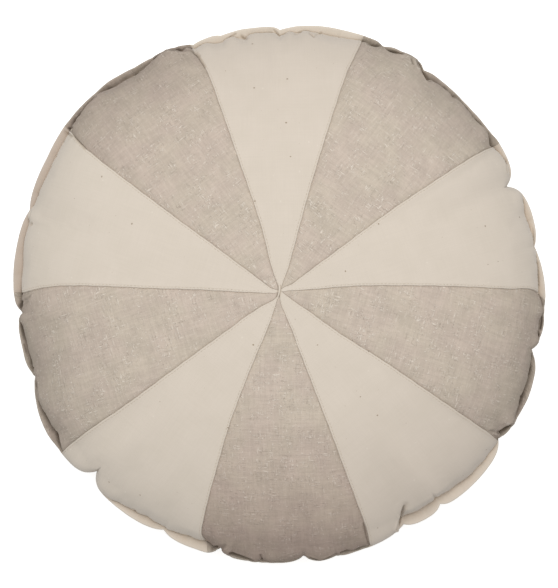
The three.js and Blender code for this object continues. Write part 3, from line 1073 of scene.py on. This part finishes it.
def threadMesh(name, lines, material):
    # lines of stitches as starts, ends and directions up: one short capsule of thread for each
    starts, ends, ups = [np.concatenate(column) for column in zip(*lines)]
    total = len(starts)
    rings = stitch["rings"]
    sides = stitch["sides"]
    t = np.linspace(0, 1, rings)
    fat = np.sqrt(np.maximum(1 - (2 * t - 1) ** 6, 0.12)) * stitch["thick"] / 2
    rise = stitch["above"] - stitch["dip"] * (2 * t - 1) ** 4
    run = ends - starts
    run = run / np.linalg.norm(run, axis=1, keepdims=True)
    across = np.cross(run, ups)
    across = across / np.linalg.norm(across, axis=1, keepdims=True)
    up = np.cross(across, run)
    centre = lerp(starts[:, None], ends[:, None], t[None, :, None])
    centre = centre + up[:, None] * rise[None, :, None]
    spin = np.arange(sides) * 2 * math.pi / sides
    ringOut = (across[:, None, None] * np.cos(spin)[None, None, :, None]
               + up[:, None, None] * np.sin(spin)[None, None, :, None])
    points = centre[:, :, None] + ringOut * fat[None, :, None, None]
    index = np.arange(total * rings * sides).reshape(total, rings, sides)
    closed = np.concatenate([index, index[..., :1]], axis=-1)
    faces = quadsBetween(closed[:, :-1], closed[:, 1:])[:, [0, 3, 2, 1]].tolist()
    faces += index[:, 0, ::-1].tolist()
    faces += index[:, -1].tolist()
    along, around, number = np.broadcast_arrays(
        (t * stitch["long"])[None, :, None],
        (spin * stitch["thick"] / 2)[None, None, :],
        (np.arange(total) * 1.7)[:, None, None],        # so that no two stitches look the same
    )
    cloth = np.stack([along, around, number], axis=-1)
    return makePiece(name, points.reshape(-1, 3), faces, material, slots["thread"],
                     cloth=cloth.reshape(-1, 3))


def makeSeamStitches(material):
    lines = []
    for index in range(10):
        side = -1 if index % 2 else 1       # which side of the seam is ecru
        first = stitch["seamFrom"] + 0.9 * (index % 3)
        length = np.arange(first, faceLength - stitch["seamTo"], stitch["pitch"])
        ends = []
        for at in (length, length + stitch["long"]):
            share = shareAtLength(at)
            radius = cushion["meanRadius"] * share
            inside = seam["stitchFrom"] * np.minimum(1, radius / 16) - tipCover(index, radius)
            angle = seamAngle(index, share) + side * inside / radius / degree
            found = surfaceAt(1, angle, share)
            normal = normalsAt(1, angle, share)
            low = seamRelief(np.full_like(angle, seam["stitchFrom"]), at, index, "ecru")
            dent = gatherDepth(1, angle, faceLength - at) + creasesAt(found)[0]
            ends.append((found + normal * (low - dent)[:, None], normal))
        (starts, ups), (finishes, _) = ends
        lines.append((starts, finishes, ups))
    return threadMesh("seamStitches", lines, material)


def makeFlangeStitches(material):
    count = round(aroundRim / stitch["flangePitch"])
    angle = np.arange(count) * 360 / count
    step = stitch["long"] / aroundRim * 360
    lines = []
    for side in (1, -1):
        ends = []
        for at in (angle, angle + step):
            shows, under = rimPlaces(at, side)
            out = stitch["flangeIn"] / np.maximum(shows + under, flange["leastWidth"])
            ends.append(flangePoint(at, out, side))
        lines.append((*ends, np.tile([0.0, 0.0, float(side)], (count, 1))))
    return threadMesh("flangeStitches", lines, material)


def newMaterial(name):
    material = bpy.data.materials.new(name)
    material.use_nodes = True
    nodes = material.node_tree.nodes
    nodes.clear()
    output = nodes.new("ShaderNodeOutputMaterial")
    shader = nodes.new("ShaderNodeBsdfPrincipled")
    material.node_tree.links.new(shader.outputs["BSDF"], output.inputs["Surface"])
    return material, shader


# Cloth finishes. The "cloth" attribute holds each point's place on its flat-cut piece, in
# millimetres, so threads run with the cut and keep their real size.
class Sheet:        # a cloth's material: its colour so far, and short ways to add nodes to it
    def __init__(self, name, look):
        self.material, self.shader = newMaterial(name)
        self.tree = self.material.node_tree
        self.look = look
        self.colour = look["colour"]
        self.place = self.attribute("cloth")

    def put(self, socket, value):
        if hasattr(value, "is_output"):
            self.tree.links.new(value, socket)
        elif hasattr(value, "__len__") and len(socket.default_value) == 4:
            socket.default_value = (*value, 1)
        else:
            socket.default_value = value

    def add(self, kind, inputs, **settings):
        node = self.tree.nodes.new("ShaderNode" + kind)
        for name, value in settings.items():
            setattr(node, name, value)
        for name, value in inputs.items():
            self.put(node.inputs[name], value)
        return node.outputs

    def attribute(self, name):
        return self.add("Attribute", {}, attribute_name=name)["Vector"]

    def split(self, vector):
        return self.add("SeparateXYZ", {0: vector})

    def math(self, kind, *values):
        return self.add("Math", dict(enumerate(values)), operation=kind)[0]

    def plus(self, first, second):
        return self.math("ADD", first, second)

    def times(self, first, second):
        return self.math("MULTIPLY", first, second)

    def spread(self, value, low, high, toLow=0.0, toHigh=1.0):
        return self.add("MapRange", {
            "Value": value, "From Min": low, "From Max": high, "To Min": toLow,
            "To Max": toHigh}, interpolation_type="SMOOTHSTEP")[0]

    def scaled(self, size):     # the place divided by a size in millimetres, or one each way
        sizes = size if isinstance(size, tuple) else (size, size, size)
        return self.add("VectorMath", {0: self.place, 1: sizes}, operation="DIVIDE")[0]

    def noise(self, size, detail=2.0, rough=0.5, warp=0.0):
        return self.add("TexNoise", {
            "Vector": self.scaled(size), "Scale": 1, "Detail": detail, "Roughness": rough,
            "Distortion": warp})[0]

    def yarns(self, wide, far, rough=0.5):      # thicker and thinner threads in both directions
        return self.plus(self.noise((wide, far, 9), 2, rough), self.noise((far, wide, 9), 2, rough))

    def specks(self, size, channel, least, most, soft, within=None):
        # round spots, in the cells whose chance is over the least, up to this share of a cell
        cells = self.add("TexVoronoi", {
            "Vector": self.scaled(size), "Scale": 1, "Randomness": 1}, voronoi_dimensions="2D")
        radius = self.spread(self.split(cells["Color"])[channel], least, 1.0, 0.0, most)
        if within is not None:
            radius = self.times(radius, within)
        return self.spread(self.math("SUBTRACT", radius, cells["Distance"]), 0.0, soft)

    def plainWeave(self, stray):
        # over and under: the product of two waves, with threads a little uneven
        drift = self.times(self.math("SUBTRACT", self.noise(7), 0.5), stray)
        waves = []
        for along in self.split(self.place)[:2]:
            turns = self.times(self.plus(along, drift), math.pi / self.look["threadPitch"])
            waves.append(self.math("SINE", turns))
        return self.times(*waves)

    def bump(self, height, strength, distance, under=None):
        inputs = {"Strength": strength, "Distance": distance, "Height": height}
        if under is not None:
            inputs["Normal"] = under
        return self.add("Bump", inputs)[0]

    def cover(self, share, tone, blend="MIX"):
        if isinstance(tone, str):
            tone = self.look[tone]
        inputs = {0: share, 6: self.colour, 7: tone}
        self.colour = self.add("Mix", inputs, data_type="RGBA", blend_type=blend)[2]

    def tint(self, *values):        # times a grey, or times red, green and blue
        values = values if len(values) == 3 else values * 3
        self.cover(1.0, self.add("CombineColor", dict(enumerate(values)))[0], "MULTIPLY")

    def vary(self, value, low, high, share):
        self.tint(self.spread(value, low, high, 1 - share, 1 + share))

    def paintRimShade(self):     # painted shade towards the rim, the flange's tone with painted shade, and painted shadow in folds and the ditch
        # the rim attribute: painted shade of folds and the ditch, the flange's share of its tone
        # and painted shade, and the wedge's painted rim shade
        shade, ledge, paintedRimShade = self.split(self.attribute("rim"))
        paintedRimShade = self.times(paintedRimShade, self.spread(self.split(self.place)[1], 60, 235))
        kept = [self.math("MULTIPLY_ADD", paintedRimShade, -share, 1.0) for share in self.look["rimShadeShares"]]
        self.tint(*kept)
        # patches where the flange's tone and painted shade is stronger or weaker
        ledgePatches = self.spread(self.noise(4, 3, 0.6), 0.3, 0.7, 0.6, 1.0)
        self.cover(self.times(ledge, ledgePatches), "flangeShadeAndTone", "MULTIPLY")
        self.cover(shade, "foldShadowTone", "MULTIPLY")

    def finish(self, normal):
        inputs = {
            "Base Color": self.colour, "Normal": normal, "Roughness": self.look["roughness"],
            "Sheen Weight": self.look["sheen"], "Sheen Roughness": 0.5, "Specular IOR Level": 0.15}
        for name, value in inputs.items():
            self.put(self.shader.inputs[name], value)
        print(self.material.name, "made")
        return self.material


ecruFinish = {
    "colour": (0.652, 0.578, 0.494),
    "shade": (0.622, 0.552, 0.466),
    "fleck": (0.27, 0.20, 0.13),
    "nep": (0.72, 0.65, 0.56),
    "rimShadeShares": (0.85, 1, 1),      # of the rim's painted shade, for red, green and blue
    # the flange's own tone with painted shade
    "flangeShadeAndTone": (0.93, 0.885, 0.835),
    # painted shadow in folds and the ditch
    "foldShadowTone": (0.42, 0.33, 0.21),
    "threadPitch": 0.42,
    "roughness": 0.95,
    "sheen": 0.24,
}


def ecruCotton():
    sheet = Sheet("ecruCotton", ecruFinish)
    cloud = sheet.spread(sheet.noise(26, detail=3, rough=0.55), 0.3, 0.7)
    sheet.cover(sheet.times(cloud, 0.6), "shade")
    sheet.vary(sheet.yarns(wide=0.9, far=38, rough=0.6), 0.75, 1.25, share=0.013)
    # seed flecks: a few small dark specks, and pale neps
    for size, most, share in (((27, 22, 1), 0.036, 0.75), ((15, 17, 1), 0.03, 0.3)):
        fleck = sheet.specks(size, channel=0, least=0.55, most=most, soft=0.012)
        sheet.cover(sheet.times(fleck, share), "fleck")
    nep = sheet.specks((19, 24, 1), channel=1, least=0.6, most=0.05, soft=0.03)
    sheet.cover(sheet.times(nep, 0.6), "nep")
    sheet.paintRimShade()
    crinkle = sheet.bump(sheet.noise(11, detail=3), strength=0.3, distance=0.0005)
    weave = sheet.plus(sheet.plainWeave(stray=0.5), nep)
    return sheet.finish(sheet.bump(weave, strength=0.2, distance=0.00005, under=crinkle))


linenFinish = {
    "colour": (0.530, 0.458, 0.376),
    "pink": (0.532, 0.448, 0.378),
    "dark": (0.40, 0.332, 0.27),
    "light": (0.74, 0.665, 0.575),
    "rimShadeTone": 0.84,        # painted shade: darker towards the rim, for the shade of its steep, gathered sides
    "rimShadeShares": (0.78, 1, 1),
    # the flange's own tone with painted shade
    "flangeShadeAndTone": (0.66, 0.635, 0.60),
    # painted shadow in folds and the ditch
    "foldShadowTone": (0.17, 0.14, 0.115),
    "threadPitch": 0.62,
    "roughness": 0.95,
    "sheen": 0.0,
}


def taupeLinen():
    sheet = Sheet("taupeLinen", linenFinish)
    # washed tone in soft clouds, some of them a little pinker
    sheet.cover(sheet.spread(sheet.noise(28), 0.35, 0.65), "pink")
    sheet.vary(sheet.noise(18, detail=3, rough=0.55), 0.3, 0.7, share=0.045)
    # broad faint bars of thicker and thinner yarn, and a fine grain
    sheet.vary(sheet.yarns(wide=2.3, far=28), 0.75, 1.25, share=0.045)
    sheet.vary(sheet.yarns(wide=0.9, far=13), 0.75, 1.25, share=0.03)
    sheet.vary(sheet.noise(1.6, rough=0.6), 0.3, 0.7, share=0.018)
    # slubs: short thick stretches of thread both ways, some with their shaded side
    slubs = []
    crowded = sheet.spread(sheet.noise(16), 0.46, 0.58, 0.3, 1.0)
    for size in ((1.2, 5, 11), (5.5, 1.1, 13)):
        thread = sheet.noise(size, detail=1.5, warp=0.5)
        light = sheet.times(sheet.spread(thread, 0.6, 0.67), crowded)
        dark = sheet.times(sheet.spread(thread, 0.36, 0.29), crowded)
        sheet.cover(sheet.times(light, 0.7), "light")
        sheet.cover(sheet.times(dark, 0.32), "dark")
        slubs.append(sheet.math("SUBTRACT", light, dark))
    # clusters of short knots, and dark specks
    patches = sheet.spread(sheet.noise(24, detail=1), 0.48, 0.62)
    knot = sheet.specks((3.4, 4.4, 1), channel=0, least=0.5, most=0.22, soft=0.06, within=patches)
    sheet.cover(sheet.times(knot, 0.6), "light")
    speck = sheet.specks((8, 10, 1), channel=1, least=0.6, most=0.07, soft=0.03)
    sheet.cover(sheet.times(speck, 0.5), "dark")
    # painted shade: darker along the cloth towards the rim
    sheet.tint(sheet.spread(sheet.split(sheet.place)[1], 150, 240, 1, linenFinish["rimShadeTone"]))
    sheet.paintRimShade()
    crinkle = sheet.bump(sheet.noise(8, detail=3), strength=0.5, distance=0.0009)
    height = sheet.plus(sheet.plus(*slubs), knot)
    slub = sheet.bump(height, strength=0.6, distance=0.0004, under=crinkle)
    weave = sheet.plainWeave(stray=0.9)
    return sheet.finish(sheet.bump(weave, strength=0.15, distance=0.0001, under=slub))


threadFinish = {
    "colour": (0.66, 0.58, 0.48),
    # painted shade for the grooves between the plies
    "shade": (0.50, 0.42, 0.33),
    "twist": 0.55,
    "roughness": 0.8,
    "sheen": 0.1,
}


def sewingThread():
    sheet = Sheet("sewingThread", threadFinish)
    along, around, _ = sheet.split(sheet.place)
    slant = sheet.plus(along, sheet.times(around, 0.8))
    ply = sheet.math("SINE", sheet.times(slant, 2 * math.pi / threadFinish["twist"]))
    # painted shade in the grooves between the plies
    sheet.cover(sheet.spread(ply, -1, 0.4, 0.7, 0), "shade")
    sheet.vary(sheet.noise((2, 2, 1), detail=1), 0.3, 0.7, share=0.06)
    return sheet.finish(sheet.bump(ply, strength=0.5, distance=0.00005))


fabrics = {"ecru": ecruCotton(), "linen": taupeLinen()}
thread = sewingThread()

backPiece = makeBack(fabrics["ecru"])
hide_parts("cushion")
for index in range(10):
    piece = makeWedge(index, fabrics[kindOf(index)])
    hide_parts("cushion")
makeSeamStitches(thread)
makeFlangeStitches(thread)

# Floor, light and camera
studio = {
    "floorHalf": 3.0,
    "floorColour": (0.94, 0.94, 0.935),
    "floorGlow": 0.5,       # like a white table lit from below, so that shadows stay faint
    "keyPower": 29.5,
    "keySize": 1.5,
    "keyHeight": 2.2,
    "keyLean": 15,          # degrees towards +Y
    "fill": 0.51,
}


def makeFloor():
    material, shader = newMaterial("floor")
    shader.inputs["Base Color"].default_value = (*studio["floorColour"], 1)
    shader.inputs["Roughness"].default_value = 1
    shader.inputs["Specular IOR Level"].default_value = 0
    shader.inputs["Emission Color"].default_value = (1, 1, 1, 1)
    shader.inputs["Emission Strength"].default_value = studio["floorGlow"]
    corners = np.array([(-1, -1, 0), (1, -1, 0), (1, 1, 0), (-1, 1, 0)])
    floor = addMesh("floor", studio["floorHalf"] * corners, [(0, 1, 2, 3)])
    floor.data.materials.append(material)
    floor.visible_diffuse = False       # its white doesn't wash out the sides


def makeLight():
    lamp = bpy.data.lights.new("key", "AREA")
    lamp.shape = "DISK"
    lamp.size = studio["keySize"]
    lamp.energy = studio["keyPower"]
    key = addObject("key", lamp)
    lean = studio["keyLean"] * degree
    key.location = (0, studio["keyHeight"] * math.sin(lean), studio["keyHeight"] * math.cos(lean))
    key.rotation_euler = (-lean, 0, 0)
    world = bpy.data.worlds.new("studio")
    world.use_nodes = True
    sky = world.node_tree.nodes["Background"]
    sky.inputs["Color"].default_value = (1, 1, 1, 1)
    sky.inputs["Strength"].default_value = studio["fill"]
    bpy.context.scene.world = world
    bpy.context.scene.view_settings.view_transform = "Standard"


# The camera looks straight down
picture = {
    "lens": 100,
    "sensor": 36,
    "pixels": 588,          # along the picture's longer side,
    "pixel": 0.841,         # and the size of one, at the height of the rim
    "centre": (-0.35, 0.76),
}


def makeCamera():
    lens = bpy.data.cameras.new("camera")
    lens.lens = picture["lens"]
    lens.sensor_width = picture["sensor"]
    lens.clip_start = 0.05
    camera = addObject("camera", lens)
    away = picture["pixels"] * picture["pixel"] * picture["lens"] / picture["sensor"]
    x, y = picture["centre"]
    camera.location = (x * mm, y * mm, (cushion["rimHeight"] + away) * mm)
    bpy.context.scene.camera = camera


makeFloor()
makeLight()
makeCamera()
print("studio made")
